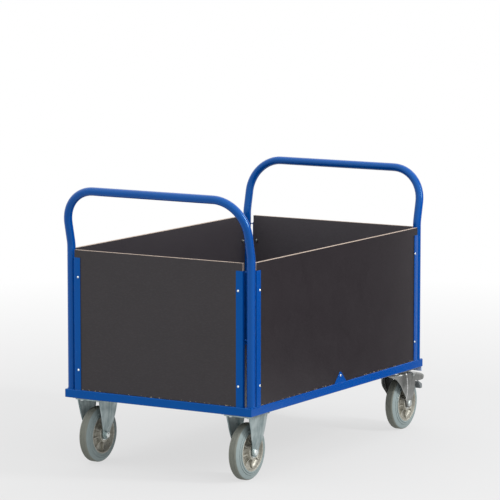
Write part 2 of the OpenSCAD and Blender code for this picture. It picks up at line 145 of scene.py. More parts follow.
def film(name, dark, light):
    """Dark phenolic film: pressed fibres, cloudy gloss, and pale chips at the foot of the wall."""
    look = Look(name, specular=0.41)
    fibres = look.noise(420, 4, (0.25, 0.25, 1))
    tone = look.mix(look.noise(7, 5), dark, light)
    tone = look.mix(look.ramp(fibres, 0, 0.5, 0.45, 0.8), tone, (0.030, 0.025, 0.029))
    near_foot = look.ramp(look.axis("Z"), 1, 0, 1.5 * MM, 6 * MM)
    chips = look.math("MULTIPLY", look.ramp(look.noise(170, 3), 0, 1, 0.60, 0.66), near_foot)
    color = look.mix(chips, tone, (0.42, 0.34, 0.28))
    return look.finish(color, look.ramp(look.noise(16, 5), 0.33, 0.45), fibres, 0.12, 0.35)


VENEER_PAIR = 2.4 * MM


def ply_edge():
    """Cut edge of plywood: thin veneers that alternate along and across, with pores."""
    look = Look("plywood_edge", specular=0.25)
    wobble = look.math("MULTIPLY", look.noise(35), 0.6 * MM)
    depth = look.math("ADD", look.axis("Y"), wobble)
    stripes = look.math("SINE", look.math("MULTIPLY", depth, math.tau / VENEER_PAIR))
    veneers = look.ramp(stripes, 0, 1, -0.3, 0.5)
    color = look.mix(veneers, (0.20, 0.145, 0.115), (0.42, 0.345, 0.285))
    pores = look.noise(900, 2, (0.15, 1, 1))
    color = look.mix(look.ramp(pores, 0, 0.6, 0.55, 0.8), color, (0.12, 0.085, 0.07))
    return look.finish(color, look.ramp(pores, 0.65, 0.85), pores, 0.3, 0.5)


def zinc(name, dark, light, fold=None):
    """Zinc plate: cloudy tone, drawn streaks from pressing and fine grain. A fold is a line in the
    object's own axes, given as (point, slope of X over Z), and gets a painted highlight along it."""
    look = Look(name, metallic=0.9)
    streaks = look.noise(70, 4, (1, 1, 0.10))
    drawn = look.math("MULTIPLY", streaks, 0.55)
    clouds = look.math("MULTIPLY_ADD", look.noise(28, 5), 0.45, drawn)
    color = look.mix(look.ramp(clouds, 0, 1, 0.38, 0.62), dark, light)
    if fold:
        point, slope = fold
        line = look.math("MULTIPLY_ADD", look.axis("Z"), slope, point.x - slope * point.z)
        off = look.math("ABSOLUTE", look.math("SUBTRACT", look.axis("X"), line))
        # Painted highlight: a bright line along the fold, standing in for the shine on its rounded
        # bend.
        color = look.mix(look.ramp(off, 1, 0, 0.8 * MM, 2.4 * MM), color, (0.80, 0.80, 0.79))
    roughness = look.ramp(clouds, 0.46, 0.34, 0.3, 0.7)
    return look.finish(color, roughness, look.noise(500, 3), 0.10, 0.4)


def steel():
    """Bright bolts and screws, slightly stained."""
    look = Look("bright_zinc_bolts", metallic=1.0)
    stains = look.noise(140, 4)
    color = look.mix(look.ramp(stains, 0, 1, 0.3, 0.7), (0.66, 0.70, 0.69), (0.90, 0.95, 0.93))
    return look.finish(color, look.ramp(stains, 0.36, 0.22), look.noise(900, 2), 0.05, 0.4)


USED_FROM, USED_FULLY = 96.2 * MM, 98.2 * MM


def rubber():
    """Grey tyre: cool clean sides and a warmer used tread. The wheel's axle is local Y."""
    look = Look("grey_rubber", specular=0.30)
    across = look.math("POWER", look.axis("X"), 2.0)
    radius = look.math("SQRT", look.math("ADD", across, look.math("POWER", look.axis("Z"), 2.0)))
    used = look.ramp(radius, 0, 1, USED_FROM, USED_FULLY)
    mottle = look.noise(45, 5)
    sides = look.mix(mottle, (0.165, 0.205, 0.205), (0.205, 0.245, 0.243))
    tread = look.mix(mottle, (0.118, 0.126, 0.106), (0.162, 0.170, 0.147))
    color = look.mix(used, sides, tread)
    return look.finish(color, look.ramp(mottle, 0.62, 0.80), look.noise(800, 3), 0.12, 0.5)


def aluminium():
    """Dull die casting, mottled with darker brown dust."""
    look = Look("cast_aluminium", metallic=0.7)
    dirt = look.noise(70, 5)
    color = look.mix(look.ramp(dirt, 0, 1, 0.35, 0.7), (0.42, 0.41, 0.36), (0.27, 0.26, 0.22))
    return look.finish(color, look.ramp(dirt, 0.42, 0.62), look.noise(450, 4), 0.25, 0.6)


def dark_brake():
    """Dark coated brake block with a sandy grain."""
    look = Look("dark_brake_coat", metallic=0.2, specular=0.4)
    grain = look.noise(300, 4)
    color = look.mix(grain, (0.10, 0.112, 0.118), (0.165, 0.18, 0.188))
    return look.finish(color, look.ramp(grain, 0.45, 0.65), grain, 0.2, 0.5)


FLOOR_TONE = (0.098, 0.098, 0.099)
FLOOR_GLOW = 0.645
FLOOR_FADE = (1.5, 4.5)


def pale_floor():
    """Matte studio floor, which fades into the white surroundings away from the object."""
    look = Look("studio_floor", specular=0.0)
    cloud = look.noise(0.8, 2)
    look.shader.inputs["Emission Color"].default_value = (1, 1, 1, 1)
    look.shader.inputs["Emission Strength"].default_value = FLOOR_GLOW
    look.finish(look.mix(cloud, FLOOR_TONE, [t * 1.01 for t in FLOOR_TONE]),
                look.ramp(cloud, 0.80, 0.90), look.noise(40, 2), 0.02, 0.2)
    squares = [look.math("POWER", look.axis(n), 2.0) for n in "XY"]
    reach = look.math("SQRT", look.math("ADD", *squares))
    white = look.node("ShaderNodeEmission", {"Color": (1, 1, 1, 1), "Strength": 1.0}).outputs[0]
    fade = look.ramp(reach, 0, 1, *FLOOR_FADE)
    layers = {0: fade, 1: look.shader.outputs[0], 2: white}
    blend = look.node("ShaderNodeMixShader", layers).outputs[0]
    look.tree.links.new(blend, look.tree.nodes["Material Output"].inputs["Surface"])
    return look.material


PAINT = blue_paint("blue_powder_coat", (0.12, 0.60, 1.0), 0.22, 0.06)
TUBE_PAINT = blue_paint("blue_coat_on_tube", (0.35, 0.74, 1.0), 0.16, 0.008)
PALE_GREY_BLUE = pale_grey_blue_paint()
FILM = film("phenolic_film", (0.0098, 0.0072, 0.0092), (0.0155, 0.0120, 0.0145))
# Lighter film for the walls' inner faces: painted light falling into the box, stronger on the end
# walls than on the side walls.
FILM_PAINTED_LIGHT_INSIDE_SIDE = film("phenolic_film_painted_light_inside_side", (0.0205, 0.0175, 0.0210),
                      (0.0285, 0.0250, 0.0290))
FILM_PAINTED_LIGHT_INSIDE_END = film("phenolic_film_used_end", (0.046, 0.0415, 0.0475), (0.056, 0.0510, 0.0575))
PLY_EDGE = ply_edge()
ZINC_BLUE = zinc("zinc_blue_passivated", (0.175, 0.235, 0.24), (0.42, 0.485, 0.485))
GREY_TONES = ((0.19, 0.195, 0.187), (0.35, 0.355, 0.345))
ZINC_GREY = zinc("zinc_worn_grey", *GREY_TONES)
# Near-black zinc for the swivel forks' inner faces: painted shade in the dark space round the
# wheel.
ZINC_PAINTED_SHADE_INSIDE = zinc("zinc_painted_shade_inside", (0.035, 0.037, 0.038), (0.085, 0.088, 0.088))
STEEL = steel()
RUBBER = rubber()
ALUMINIUM = aluminium()
BRAKE = dark_brake()
SLOT_LOOKS = {
    "blue_paint": PAINT, "film_plywood": FILM, "zinc_plate": ZINC_GREY, "bright_steel": STEEL,
    "tyre_grey": RUBBER, "cast_aluminium": ALUMINIUM, "dark_brake": BRAKE,
}
NODE_LOOKS = {"corner_stops": PALE_GREY_BLUE, "wall_nuts": ZINC_GREY}


# ---------- Mesh helpers ----------


def make_piece(name, bm, looks, body, replaces=(), place=None, sharp=32, bevel=0.0,
               segments=2):
    """Turns a bmesh into a shown piece that rides on a body."""
    bmesh.ops.recalc_face_normals(bm, faces=bm.faces)
    mesh = bpy.data.meshes.new(name)
    bm.to_mesh(mesh)
    bm.free()
    for look in looks:
        mesh.materials.append(look)
    mesh.shade_smooth()
    mesh.set_sharp_from_angle(angle=math.radians(sharp))
    piece = bpy.data.objects.new(name, mesh)
    bpy.context.scene.collection.objects.link(piece)
    if place:
        piece.matrix_world = place
    if bevel:
        add_bevel(piece, bevel, segments)
    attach(piece, body)
    if replaces:
        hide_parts(*replaces)
    return piece


BEVEL_ANGLE = math.radians(40)


def add_bevel(piece, width, segments=2):
    bevel = piece.modifiers.new("bevel", "BEVEL")
    bevel.width = width
    bevel.segments = segments
    bevel.limit_method = "ANGLE"
    bevel.angle_limit = BEVEL_ANGLE
    bevel.harden_normals = True


def bridge(bm, a, b, material=0, closed=True):
    """Quads between two rings of vertices, or triangles where the rings share a vertex."""
    count = len(a)
    for i in range(count if closed else count - 1):
        j = (i + 1) % count
        corners = tuple(dict.fromkeys((a[i], a[j], b[j], b[i])))
        if len(corners) > 2:
            bm.faces.new(corners).material_index = material


def sweep(bm, path, radius, sides=32):
    """A round tube along a path of points, with a radius or a function of the point's index."""
    rings = []
    normal = None
    for i, point in enumerate(path):
        before = path[i - 1] if i else point
        after = path[i + 1] if i < len(path) - 1 else point
        along = (after - before).normalized()
        normal = along.orthogonal() if normal is None else normal - along * normal.dot(along)
        normal.normalize()
        across = along.cross(normal)
        r = radius(i) if callable(radius) else radius
        angles = [math.tau * k / sides for k in range(sides)]
        ring = [point + r * (normal * math.cos(t) + across * math.sin(t)) for t in angles]
        rings.append([bm.verts.new(p) for p in ring])
    for a, b in zip(rings, rings[1:]):
        bridge(bm, a, b)
    bm.faces.new(rings[0])
    bm.faces.new(rings[-1])


def filleted(corners, radii, step=6):
    """Points along a line through the corners, with an arc of its own radius at each one."""
    points = [corners[0]]
    for before, corner, after, radius in zip(corners, corners[1:], corners[2:], radii):
        a = (before - corner).normalized()
        b = (after - corner).normalized()
        half = a.angle(b) / 2
        centre = corner + (a + b).normalized() * (radius / math.sin(half))
        start = corner + a * (radius / math.tan(half)) - centre
        end = corner + b * (radius / math.tan(half)) - centre
        turn = start.angle(end)
        count = max(4, math.ceil(math.degrees(turn) / step))
        for i in range(count + 1):
            t = i / count
            arm = start * math.sin((1 - t) * turn) + end * math.sin(t * turn)
            points.append(centre + arm / math.sin(turn))
    return points + [corners[-1]]


def prism(bm, outline, low, high, place=Matrix.Identity(4)):
    """A flat outline of (x, y) points, extruded along z from low to high."""
    rings = [[bm.verts.new(place @ Vector((x, y, z))) for x, y in outline] for z in (low, high)]
    bridge(bm, *rings)
    for ring in rings:
        bm.faces.new(ring)


def round_rect(length, width, radius, steps=5):
    """Outline of a rectangle with round corners."""
    points = []
    for k, (sx, sy) in enumerate(((1, 1), (-1, 1), (-1, -1), (1, -1))):
        for i in range(steps + 1):
            angle = math.radians(90) * (k + i / steps)
            x = sx * (length / 2 - radius) + radius * math.cos(angle)
            y = sy * (width / 2 - radius) + radius * math.sin(angle)
            points.append((x, y))
    return points


def in_metres(points):
    return [(a * MM, b * MM) for a, b in points]


def mirrored(half):
    """A closed profile in metres, from its half at positive y in mm."""
    return in_metres(half + [(r, -y) for r, y in reversed(half)])


def turns(*degrees):
    """The values of a range in degrees, as radians."""
    return [math.radians(a) for a in range(*degrees)]


def revolve(bm, profile, steps=96, place=Matrix.Identity(4), flats=0):
    """Turns a closed profile of (radius, y) points about Y, round or with a number of flats."""
    sector = math.pi / flats if flats else math.pi
    tips = {i: bm.verts.new(place @ Vector((0, y, 0)))
            for i, (r, y) in enumerate(profile) if r == 0}
    rings = []
    for k in range(steps):
        angle = math.tau * k / steps
        reach = 1 / math.cos(angle % (2 * sector) - sector) if flats else 1
        turned = [Vector((r * reach * math.cos(angle), y, r * reach * math.sin(angle)))
                  for r, y in profile]
        rings.append([tips.get(i) or bm.verts.new(place @ point) for i, point in enumerate(turned)])
    for a, b in zip(rings, rings[1:] + rings[:1]):
        bridge(bm, a, b)


def sheet(bm, surface, rows, columns, thickness, place=Matrix.Identity(4), inside=0):
    """A closed shell between surface(row, column) and its offset against the direction row x
    column. The offset side takes the material of index inside."""
    outer = [[surface(r, c) for c in columns] for r in rows]
    inner = []
    for i, line in enumerate(outer):
        inner.append([])
        for j, point in enumerate(line):
            up = outer[min(i + 1, len(rows) - 1)][j] - outer[max(i - 1, 0)][j]
            across = line[min(j + 1, len(line) - 1)] - line[max(j - 1, 0)]
            inner[-1].append(point - up.cross(across).normalized() * thickness)
    grids = [[[bm.verts.new(place @ p) for p in line] for line in grid] for grid in (outer, inner)]
    for grid, material in zip(grids, (0, inside)):
        for a, b in zip(grid, grid[1:]):
            bridge(bm, a, b, material, closed=False)
    for row in (0, -1):
        bridge(bm, grids[0][row], grids[1][row], closed=False)
    for side in (0, -1):
        edges = [[line[side] for line in grid] for grid in grids]
        bridge(bm, *edges, closed=False)


def soft_steps(points, at, reach):
    """Straight lines through (key, value) points, rounded at the corners over the given reach."""
    def straight(x):
        for (x0, y0), (x1, y1) in zip(points, points[1:]):
            if x <= x1:
                break
        return y0 + (y1 - y0) * max(0.0, min(1.0, (x - x0) / (x1 - x0)))

    spread = [-1, -0.5, 0, 0.5, 1]
    return sum(straight(at + k * reach) for k in spread) / len(spread)


def rise(value, start, end):
    """Goes smoothly from 0 at the start to 1 at the end."""
    x = max(0.0, min(1.0, (value - start) / (end - start)))
    return x * x * (3 - 2 * x)


def centre_of(node):
    low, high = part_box(node)
    return (low + high) / 2


# ---------- Frame, push bars and walls ----------

BAR_R = 15 * MM
LEAN = math.radians(13)
KNEE_SWELL = 0.3 * MM
KNEE_BEND = 95 * MM
CORNER_BEND = 125 * MM
SINK = 2 * MM


def push_bar(end):
    """One tube bent twice on each side: a knee above the wall, and a wide corner at the top."""
    low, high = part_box(f"push_bar_{end}")
    near, far = sorted((abs(low.x), abs(high.x)))
    post_x = near + BAR_R + KNEE_SWELL
    post_y = high.y - BAR_R - KNEE_SWELL
    top_x, top_z = far - BAR_R, high.z - BAR_R
    knee_z = top_z - (top_x - post_x) / math.tan(LEAN)
    e = ENDS[end]
    left = [Vector((e * post_x, post_y, low.z - SINK)), Vector((e * post_x, post_y, knee_z)),
            Vector((e * top_x, post_y, top_z))]
    corners = left + [c * Vector((1, -1, 1)) for c in reversed(left)]
    bm = bmesh.new()
    sweep(bm, filleted(corners, (KNEE_BEND, CORNER_BEND, CORNER_BEND, KNEE_BEND)), BAR_R)
    make_piece(f"{end}_bent_tube", bm, [TUBE_PAINT], "chassis", [f"push_bar_{end}"])
    return post_x, post_y


def wall_panel(name):
    """A plywood panel in its own axes: length along X, thickness along Y, foot at z = 0."""
    low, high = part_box(name)
    size = high - low
    turned = size.y > size.x
    length, thick = max(size.x, size.y), min(size.x, size.y)
    middle = (low + high) / 2
    outside = math.copysign(1, -middle.x if turned else middle.y)
    bm = bmesh.new()
    prism(bm, [(-length / 2, -thick / 2), (length / 2, -thick / 2), (length / 2, thick / 2),
               (-length / 2, thick / 2)], 0, size.z)
    bm.normal_update()
    for face in bm.faces:
        facing = face.normal.y * outside
        face.material_index = 0 if facing > 0.9 else 2 if facing < -0.9 else 1
    place = Matrix.Translation((middle.x, middle.y, low.z))
    place = place @ Matrix.Rotation(math.radians(90 if turned else 0), 4, "Z")
    # Inner faces (index 2) take a lighter film: painted light falling into the box.
    looks = [FILM, PLY_EDGE, FILM_PAINTED_LIGHT_INSIDE_END if turned else FILM_PAINTED_LIGHT_INSIDE_SIDE]
    make_piece(f"{name}_panel", bm, looks, "chassis", [name], place,
               bevel=0.7 * MM)


ANGLE_OUT = 2 * MM
ANGLE_WIDE = 25 * MM
ANGLE_DEEP = 13 * MM
ANGLE_BEND = 2.6 * MM
TAB_LIFT = 3 * MM
TAB_HEIGHTS = (230 * MM, 465 * MM)
TAB_BEAD, FOOT_BEAD, ANGLE_BEAD = 2.6 * MM, 2.1 * MM, 1.5 * MM
MITRE_BEAD, EDGE_BEAD = 1.3 * MM, 1.2 * MM


def angle_outline():
    """Section of the angle round a wall's end: x past the wall's end, y out of its face."""
    centre = ANGLE_OUT - ANGLE_BEND
    bend = [(centre + ANGLE_BEND * math.cos(t), centre + ANGLE_BEND * math.sin(t))
            for t in turns(0, 91, 15)]
    return [(-ANGLE_WIDE, 0), (0, 0), (0, -ANGLE_DEEP), (ANGLE_OUT, -ANGLE_DEEP), *bend,
            (-ANGLE_WIDE, ANGLE_OUT)]


def weld_bead(bm, path, radius):
    """A rippled bead along a path."""
    def ripple(i):
        return radius * (0.86 + 0.16 * math.sin(1.7 * i) + 0.16 * noise.noise(path[i] * 300))

    sweep(bm, path, ripple, 10)


def straight_bead(bm, start, end, steps, radius):
    """A bead from start to end, in a number of steps."""
    weld_bead(bm, [start.lerp(end, k / steps) for k in range(steps + 1)], radius)


def outer_face(wall):
    """The X of an end wall's outer face, or the Y of a side wall's."""
    low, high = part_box(f"wall_{wall}")
    return {"front": high.x, "rear": low.x, "left": high.y, "right": low.y}[wall]


def wall_angles(wall, post_y):
    """The two angles of one wall. On an end wall, each has two short weld bridges to its post."""
    node = f"wall_{wall}_angles"
    low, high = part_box(node)
    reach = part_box(f"wall_{wall}")[1]
    bm = bmesh.new()
    for m in (-1, 1):
        if wall in ENDS:
            along, out = Vector((0, m, 0)), Vector((ENDS[wall], 0, 0))
            corner = Vector((outer_face(wall), m * reach.y, 0))
        else:
            along, out = Vector((m, 0, 0)), Vector((0, SIDES[wall], 0))
            corner = Vector((m * reach.x, outer_face(wall), 0))
        place = Matrix((along, out, Vector((0, 0, 1)))).transposed().to_4x4()
        place.translation = corner
        prism(bm, angle_outline(), low.z, high.z, place)
        if wall in ENDS:
            for lift in TAB_HEIGHTS:
                start = corner - out * ANGLE_DEEP + Vector((0, 0, low.z + lift + TAB_LIFT))
                end = Vector((start.x, m * (post_y - BAR_R / 2), start.z))
                straight_bead(bm, start, end, 8, TAB_BEAD)
    make_piece(f"{wall}_angle_pair", bm, [PAINT], "chassis", [node],
               bevel=0.4 * MM)


MITRE_IN, MITRE_EDGE_IN = 1 * MM, 1.1 * MM
MITRE_LENGTH = 28 * MM
ANGLE_WELDS = ((-22 * MM, -10 * MM), (-12 * MM, -3 * MM))


def frame_welds(post_x, post_y):
    """Beads round the feet of the posts and angles, and along the mitres of the frame."""
    rail_low, rail_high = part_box("side_rail_left")
    bm = bmesh.new()
    for e, s in ((-1, -1), (-1, 1), (1, -1), (1, 1)):
        foot = Vector((e * post_x, s * post_y, DECK + 0.8 * MM))
        round_foot = [foot + (BAR_R + 0.6 * MM) * Vector((math.cos(t), math.sin(t), 0))
                      for t in (math.tau * k / 44 for k in range(45))]
        weld_bead(bm, round_foot, FOOT_BEAD)
        outer = Vector((e * (rail_high.x - MITRE_IN), s * (rail_high.y - MITRE_IN), 0))
        outer.z = DECK - 0.4 * MM
        inner = outer - Vector((e * MITRE_LENGTH, s * MITRE_LENGTH, 0))
        straight_bead(bm, outer, inner, 24, MITRE_BEAD)
        edge_x, edge_y = e * (rail_high.x - MITRE_EDGE_IN), s * (rail_high.y - MITRE_EDGE_IN)
        top = Vector((edge_x, edge_y, DECK - 2 * MM))
        low = Vector((edge_x, edge_y, rail_low.z + 2 * MM))
        straight_bead(bm, top, low, 20, EDGE_BEAD)
    for wall in WALLS:
        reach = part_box(f"wall_{wall}")[1]
        face = outer_face(wall) + math.copysign(ANGLE_OUT, outer_face(wall))
        for m in (-1, 1):
            for span in ANGLE_WELDS:
                if wall in ENDS:
                    start, end = [Vector((face, m * (reach.y + t), DECK + 0.4 * MM)) for t in span]
                else:
                    start, end = [Vector((m * (reach.x + t), face, DECK + 0.4 * MM)) for t in span]
                straight_bead(bm, start, end, 10, ANGLE_BEAD)
    make_piece("frame_weld_beads", bm, [PAINT], "chassis", sharp=60)


SCREW_HEIGHTS = (72 * MM, 404 * MM)
SCREW_IN = {"end": 16 * MM, "side": 19 * MM}
LUG_SCREW = 26 * MM
WALL_T = 12 * MM
NUT_H = 5 * MM
HEAD_R = 4.2 * MM
HEAD_H = 2.6 * MM
SHAFT_R = 3 * MM
SOCKET_R = 1.7 * MM
SOCKET_EDGE, SOCKET_TIP = 1.1 * MM, 0.7 * MM
SHAFT_PAST, SHAFT_CHAMFER = 1.2 * MM, 0.5 * MM


def wall_screw(bm, place):
    """Domed head with a socket on the outer side, and the shaft's end past the nut inside."""
    dome = [(HEAD_R * math.cos(t), ANGLE_OUT + HEAD_H * math.sin(t)) for t in turns(0, 66, 13)]
    socket = [(SOCKET_R, dome[-1][1]), (SOCKET_R, ANGLE_OUT + SOCKET_EDGE),
              (0, ANGLE_OUT + SOCKET_TIP)]
    end = -WALL_T - NUT_H - SHAFT_PAST
    shaft = [(0, end), (SHAFT_R - SHAFT_CHAMFER, end), (SHAFT_R, end + SHAFT_CHAMFER),
             (SHAFT_R, ANGLE_OUT)]
    revolve(bm, [*shaft, (HEAD_R, ANGLE_OUT), *dome, *socket], 24, place)


def wall_screws():
    """Two screws through each angle, and one through each side lug."""
    bm = bmesh.new()
    for side, end in (("right", "rear"), ("left", "front")):
        s = SIDES[side]
        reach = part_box(f"wall_{side}")[1].x - SCREW_IN["side"]
        turn = Matrix.Rotation(math.radians(0 if s > 0 else 180), 4, "Z")
        spots = [(m * reach, z) for m in (-1, 1) for z in SCREW_HEIGHTS]
        for x, z in [*spots, (0, LUG_SCREW)]:
            wall_screw(bm, Matrix.Translation((x, outer_face(side), DECK + z)) @ turn)
        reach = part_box(f"wall_{end}")[1].y - SCREW_IN["end"]
        turn = Matrix.Rotation(math.radians(-90 * s), 4, "Z")
        for y, z in [(m * reach, z) for m in (-1, 1) for z in SCREW_HEIGHTS]:
            wall_screw(bm, Matrix.Translation((outer_face(end), y, DECK + z)) @ turn)
    make_piece("wall_button_screws", bm, [STEEL], "chassis", ["wall_screws"],
               sharp=30)


# ---------- Casters ----------

SHEET_T = 4 * MM
LEG_Y = 35.5 * MM
TRAIL = 60 * MM

# Forks in mm: (height above the axle, distance out or along)
LEG_OUT = [(-17, 35.5), (12, 35.5), (40, 44.5), (75, 49.5)]
FOOT_HALF, FOOT_LOW = 20, 17
FIXED_HALF = [(0, 20), (21, 25), (48, 38), (130, 62)]
FIXED_STRIP = 19
FIXED_SLOPE = math.tan(math.radians(8))
FIXED_RAISED, FIXED_GROOVE, FIXED_ROLL = 1.5, 0.9, 2.5
FIXED_TOP = (130, 53.5)
SWIVEL_FRONT = [(0, 20), (20, 30), (45, 51), (63, 70), (86, 87.5), (101, 101), (108, 118),
                (112, 138)]
SWIVEL_REAR = [(0, -20), (107, -20), (123, 10)]
SWIVEL_FOLD = [(0, 27), (20, 31), (118, 50)]
SWIVEL_SLOPE = math.tan(math.radians(9))
SWIVEL_BEAD, SWIVEL_TURN_IN, SWIVEL_ROLL = 2.1, 4.0, 2.0
SWIVEL_TOP = (123, 50)
BEAD_HALF, GROOVE_HALF = 2.0, 2.5
FORK_R = 49


def leg_rows(top):
    """Heights above the axle, in mm, closer together round the foot and near the top."""
    foot = [-FOOT_LOW * math.cos(math.radians(a)) for a in range(12, 90, 13)]
    return foot + [4 * k for k in range(25)] + [100 + (top - 100) * k / 14 for k in range(15)]


def foot_half(height):
    return FOOT_HALF * math.sqrt(1 - (height / FOOT_LOW) ** 2)


def past_fold(distance, slope, softness=2.0):
    """How far a wing has turned inwards at a distance past its fold line."""
    return (math.hypot(distance, softness) + distance) / 2 * slope


def fixed_leg(height, share):
    """Outer surface of a fixed fork's leg, in mm: a raised strip, and a wing folded inwards on
    either side."""
    half = foot_half(height) if height < 0 else soft_steps(FIXED_HALF, height, 8)
    x = share * half
    out = soft_steps([*LEG_OUT, FIXED_TOP], height, 7)
    raised = rise(height, 14, 36)
    past = abs(x) - FIXED_STRIP
    wing = past_fold(past, FIXED_SLOPE) * raised
    groove = FIXED_GROOVE * raised * math.exp(-(past / GROOVE_HALF) ** 2)
    roll = FIXED_ROLL * raised * rise(abs(x) - half, -5, 0)
    return Vector((x, out + FIXED_RAISED * raised - wing - groove - roll, height)) * MM


def swivel_leg(height, share):
    """Outer surface of half a swivel fork, in mm: a flat strip over the axle, a fold with a bead
    along it, and a wing that bends round the front of the head and arches over the wheel."""
    if height < 0:
        front = foot_half(height)
        rear = -front
    else:
        front = soft_steps(SWIVEL_FRONT, height, 3)
        rear = soft_steps(SWIVEL_REAR, height, 3)
    along = rear + (front - rear) * share
    past = min(along, TRAIL / MM) - soft_steps(SWIVEL_FOLD, height, 5)
    wing = past_fold(past, SWIVEL_SLOPE) * rise(height, 10, 35)
    bead = SWIVEL_BEAD * math.exp(-(past / BEAD_HALF) ** 2) * rise(height, 12, 24)
    turn_in = SWIVEL_TURN_IN * rise(height, 112, 124) ** 2
    roll = SWIVEL_ROLL * rise(along - front, -4, 0) * rise(height, 20, 40) * rise(height, 116, 110)
    out = soft_steps([*LEG_OUT, SWIVEL_TOP], height, 7) - wing + bead - turn_in - roll
    turn = max(0.0, along - TRAIL / MM) / FORK_R
    x = min(along, TRAIL / MM) + out * math.sin(turn)
    return Vector((x, out * math.cos(turn), height)) * MM


def at(point, side=1):
    """Places a piece drawn for the left side at a point, mirrored for the right side."""
    return Matrix.Translation(point) @ Matrix.Diagonal((1, side, 1, 1))


def both_legs(bm, surface, top, columns, axle, inside=0):
    for m in (-1, 1):
        sheet(bm, surface, leg_rows(top), columns, SHEET_T, at(axle, m), inside)


LEG_TOP_FIXED, LEG_TOP_SWIVEL = 131, 121
PLATE_T, PLATE_CORNER = 5 * MM, 10 * MM


def fixed_fork(side):
    """Pressed legs under the plate that is bolted to the frame."""
    node = f"front_{side}_fork"
    low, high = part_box(node)
    axle = centre_of(f"front_{side}_tyre")
    bm = bmesh.new()
    both_legs(bm, fixed_leg, LEG_TOP_FIXED, [k / 12 for k in range(-12, 13)], axle)
    size = high - low
    plate = round_rect(size.x, size.y, PLATE_CORNER)
    prism(bm, plate, high.z - PLATE_T, high.z, Matrix.Translation((axle.x, axle.y, 0)))
    make_piece(f"front_{side}_pressed_fork", bm, [ZINC_BLUE], "chassis", [node],
               bevel=1.1 * MM)


FOLD_START, FOLD_END = [Vector((x, 0, height)) * MM for height, x in SWIVEL_FOLD[1:]]
FOLD_SLOPE = (FOLD_END.x - FOLD_START.x) / (FOLD_END.z - FOLD_START.z)
# The swivel forks' zinc has a painted highlight along the legs' fold.
ZINC_FORK = zinc("zinc_grey_with_painted_highlight_fold", *GREY_TONES,
                 (centre_of("rear_left_tyre") + FOLD_START, FOLD_SLOPE))
HEAD_FRONT, HEAD_HALF, HEAD_REAR = 45.5 * MM, 46.5 * MM, 50 * MM
HEAD_LOW, HEAD_TOP = -10 * MM, -5 * MM
# Ball race in mm: (radius, height)
RACE = [(30, -6), (47, -6), (46, -4.5), (42.5, -3), (41, 0), (38, 0), (37, -3), (30, -4)]


def swivel_fork(side):
    """Pressed fork: two legs with a round front, a flat head, and the ball race on top."""
    node = f"rear_{side}_fork"
    axle = centre_of(f"rear_{side}_tyre")
    pivot = axle + Vector((TRAIL, 0, 0))
    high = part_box(node)[1]
    bm = bmesh.new()
    # The legs' inner faces take the second look: painted shade.
    both_legs(bm, swivel_leg, LEG_TOP_SWIVEL, [k / 48 for k in range(49)], axle, inside=1)
    arc = [(HEAD_FRONT * math.cos(t), HEAD_FRONT * math.sin(t)) for t in turns(-84, 85, 6)]
    outline = [*arc, (0, HEAD_HALF), (-HEAD_REAR, HEAD_HALF), (-HEAD_REAR, -HEAD_HALF),
               (0, -HEAD_HALF)]
    base = Matrix.Translation((pivot.x, pivot.y, high.z))
    prism(bm, outline, HEAD_LOW, HEAD_TOP, base)
    revolve(bm, in_metres(RACE), 64, base @ Matrix.Rotation(math.radians(90), 4, "X"))
    make_piece(f"rear_{side}_pressed_fork", bm, [ZINC_FORK, ZINC_PAINTED_SHADE_INSIDE], f"rear_{side}_swivel",
               [node], bevel=1.0 * MM)


# Turned profiles in mm: (radius, y)
TYRE_SIDE = [(69.2, 21.5), (69.2, 24.0), (70.0, 24.9), (73.0, 25.0), (73.8, 24.6), (74.2, 22.6),
             (76.6, 22.0), (77.2, 23.2), (81.2, 21.7), (81.8, 20.0), (83.8, 19.2), (84.6, 20.3),
             (92.5, 17.1), (95.2, 15.9), (97.2, 14.5), (98.8, 12.7), (99.7, 10.9), (100, 9.2)]
TREAD_GROOVES = (6.8, 2.8)


def tyre(end, side):
    """Solid rubber tyre: flanks with two grooves, round shoulders, fine grooves in the tread."""
    node = f"{end}_{side}_tyre"
    tread = []
    for y in TREAD_GROOVES:
        tread += [(100, y + 0.8), (99.1, y + 0.45), (99.1, y - 0.45), (100, y - 0.8)]
    bm = bmesh.new()
    revolve(bm, mirrored(TYRE_SIDE + tread), 128)
    make_piece(f"{end}_{side}_ribbed_tyre", bm, [RUBBER], f"{end}_{side}_wheel",
               [node], at(centre_of(node)), sharp=38)


RIM_HALF = [(20, 28.4), (20.6, 29), (26.4, 29), (27.8, 28), (28.4, 14), (30.5, 10), (34, 8.2),
            (54, 8.2), (58.5, 10), (61.5, 14), (63.6, 20), (64.6, 23.6), (65.4, 24.4),
            (68.4, 24.5), (69.4, 23.6)]
SPOKE_SIDE = [(27, 4), (62.5, 4), (62.5, 17), (52, 14.5), (40, 16), (27, 22)]
SPOKE_HALF = 2.4 * MM
SPOKES = 8


def rim(end, side):
    """Die-cast rim: hub, web and lip in one turned shape, with ribs on both faces of the web."""
    node = f"{end}_{side}_rim"
    bm = bmesh.new()
    revolve(bm, mirrored(RIM_HALF))
    for k in range(SPOKES):
        turn = Matrix.Rotation(math.tau * (k + 0.25) / SPOKES, 4, "Y")
        for m in (-1, 1):
            rib = in_metres([(r, m * y) for r, y in SPOKE_SIDE])
            prism(bm, rib, -SPOKE_HALF, SPOKE_HALF, turn)
    make_piece(f"{end}_{side}_cast_rim", bm, [ALUMINIUM], f"{end}_{side}_wheel",
               [node], at(centre_of(node)), bevel=0.9 * MM)


BOLT_R, SLEEVE_R = 6 * MM, 10 * MM

# Profiles in mm: (radius, y from the outer face of a leg)
WASHER = [(6, 0), (12, 0), (12, 1.6), (6, 1.6)]
BOLT_HEAD = [(0, 1), (9.5, 1), (9.5, 3.8), (8.2, 5), (0, 5)]
AXLE_NUT = [(5.9, 0), (9.5, 0), (9.5, -8), (8.3, -9), (5.9, -9)]
THREAD_END = [(0, -11), (5, -11), (6, -10)]


